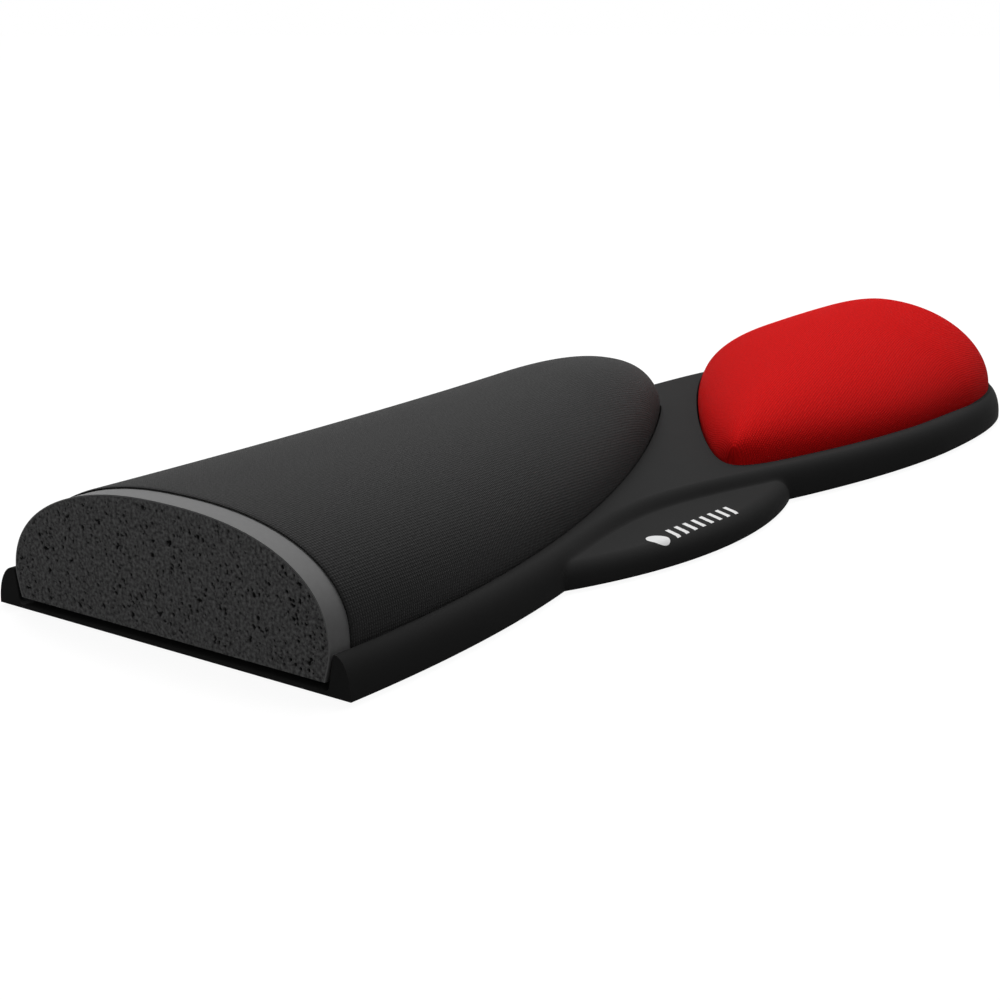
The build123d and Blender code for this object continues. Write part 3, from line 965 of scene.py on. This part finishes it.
# PALM PAD
# The same foam pad with a red knit cover, closed all round: a round nose at the waist and a
# full dome over the palm end. Its cover is tucked under its board.
palm_crown, palm_front_fullness, palm_back_fullness = 21.6, 2.0, 1.75
palm_rise_run, palm_rise_fullness = 50.0, 4.2
palm_fall_run, palm_fall_fullness = 16.8, 1.78
palm_slope_run, palm_slope, palm_slope_power = 121.0, 0.6, 1.2


def palm_surface(x, across, inset):
    """Top of the palm pad: a superellipse over the width, whose height rises from the nose and
    falls at the far end as two more, and eases down towards the nose in between."""
    front, back = palm_edges(x, inset)
    to_rise = (palm_tip_x + palm_rise_run - x) / (palm_rise_run - inset)
    to_fall = (x - palm_far_x + palm_fall_run) / (palm_fall_run - inset)
    to_slope = np.maximum(palm_tip_x + palm_slope_run - x, 0) / palm_slope_run
    rise = fullness_arc(to_rise, palm_rise_fullness)
    fall = fullness_arc(to_fall, palm_fall_fullness)
    ease = 1 - palm_slope * to_slope**palm_slope_power
    crown = (tray_top + palm_crown - inset - spring_level) * rise * fall * ease
    y = (front + back) / 2 + (back - front) / 2 * across
    fullness = np.where(across < 0, palm_front_fullness, palm_back_fullness)
    z = spring_level + crown * fullness_arc(np.abs(across), fullness)
    return np.stack(np.broadcast_arrays(x, y, z), -1)


palm_x = palm_tip_x + (palm_far_x - palm_tip_x) * (1 - np.cos(np.linspace(0, pi, 121))) / 2
palm_grid = pad_shell(palm_surface, palm_edges, palm_x, cover_arc, 0.0, cover_bottom)
palm_cover = taut_cover("palm_pad_knit", palm_grid, closed_end=True)
finish_cover(palm_cover, palm_grid, cover_thickness)
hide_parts("palm_pad_cover", "palm_pad_lining", "palm_pad_core")
red_dark, red_light, red_fuzz = (0.42, 0.004, 0.004), (0.86, 0.01, 0.01), (1.0, 0.1, 0.1)
red_knit = knit_finish("red_knit", red_dark, red_light, 0.85, 0.02, red_fuzz)
palm_cover.data.materials.append(red_knit)

# BOARDS AND FILM
# Each pad's foam is bonded to a thin black board, and a double-sided film holds the board in
# its pocket. Their near-black colour is partly the board's own black and partly painted shade for the dark
# gap under the foam at the cut end.
board_and_gap_shade_finish, shader = new_finish("black_board_and_gap_shade", 0.8, 0.1)
tone = spread_to(board_and_gap_shade_finish, speckle(board_and_gap_shade_finish, 400.0), 0.004, 0.008)
board_and_gap_shade_finish.node_tree.links.new(tone, shader.inputs["Base Color"])
for name in ("main_pad_board", "main_pad_adhesive", "palm_pad_board", "palm_pad_adhesive"):
    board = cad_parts[name]
    board.data.materials.clear()
    board.data.materials.append(board_and_gap_shade_finish)

# FEET
# Six soft rubber discs, each with two grip rings. They are set in shallow recesses under the
# tray, and the rest stands on them.
foot_thickness = 0.9
groove_level, ring_edge_level = 0.3, 0.05
inner_ring = [(1.6, groove_level), (1.8, ring_edge_level), (2.0, 0.0), (2.9, 0.0), (3.1, ring_edge_level)]
middle_ring = [(3.3, groove_level), (4.1, groove_level), (4.3, ring_edge_level), (4.5, 0.0), (5.6, 0.0)]
rim_ring = [(5.9, 0.08), (foot_radius, groove_level), (foot_radius, foot_thickness), (0.0, foot_thickness)]
foot_profile = np.array([(0.0, groove_level), *inner_ring, *middle_ring, *rim_ring])
lathe_turn = np.linspace(0, 2 * pi, 65)[:-1]
foot_finish, shader = new_finish("foot_rubber", 0.7, 0.5)
tone = spread_to(foot_finish, speckle(foot_finish, 500.0), 0.012, 0.024)
foot_finish.node_tree.links.new(tone, shader.inputs["Base Color"])
for number, foot_place in enumerate(foot_places, start=1):
    radius, level = foot_profile[:, 0], foot_profile[:, 1]
    foot_points = np.stack(
        [
            foot_place[0] + radius[None] * np.cos(lathe_turn)[:, None],
            foot_place[1] + radius[None] * np.sin(lathe_turn)[:, None],
            np.broadcast_to(level, (len(lathe_turn), len(level))),
        ],
        2,
    )
    foot_faces = grid_faces(*foot_points.shape[:2], closed=True)
    foot = solid_piece(f"rubber_foot_{number}", foot_points.reshape(-1, 3), foot_faces)
    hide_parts(f"foot_{number}")
    foot.data.materials.append(foot_finish)
